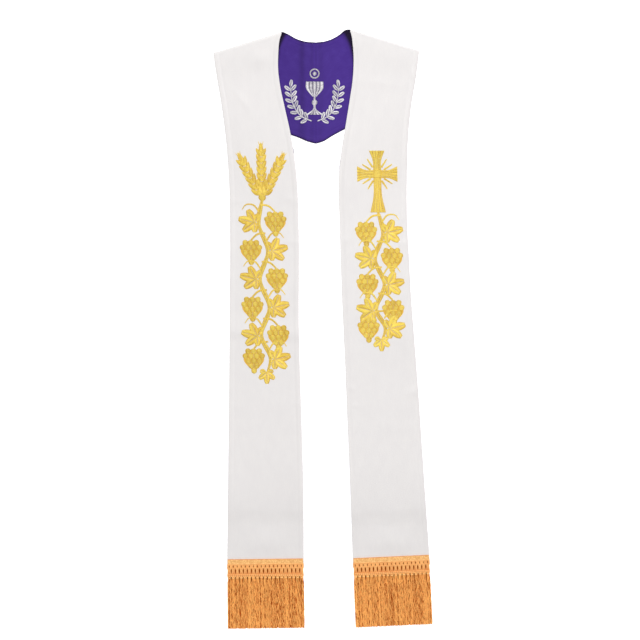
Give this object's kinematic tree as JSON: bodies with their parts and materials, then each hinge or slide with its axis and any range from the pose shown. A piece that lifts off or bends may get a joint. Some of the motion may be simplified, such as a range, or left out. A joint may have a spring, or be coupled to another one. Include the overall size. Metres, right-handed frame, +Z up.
{
  "type": "clerical stole",
  "caption": "Reversible clerical stole of white and purple satin with gold fringed hems, laid flat with its fronts over its back.",
  "frame": {"origin": "middle of the outline at the surface that the stole lies on", "axes": "+Z up from that surface, +Y towards the neck, -Y towards the fringed hems, +X towards the right-hand front as seen from above"},
  "size_m": [0.472, 1.2894, 0.008],
  "materials": {
    "white_satin": "soft satin with a fine twill weave",
    "purple_satin": "soft satin with a fine twill weave",
    "gold_yarn": "kinked shiny yarn"
  },
  "bodies": {
    "root": {"shell_left": "white_satin", "shell_right": "white_satin", "lining_left": "purple_satin", "lining_right": "purple_satin", "fringe_left": "gold_yarn", "fringe_right": "gold_yarn"}
  },
  "joints": []
}
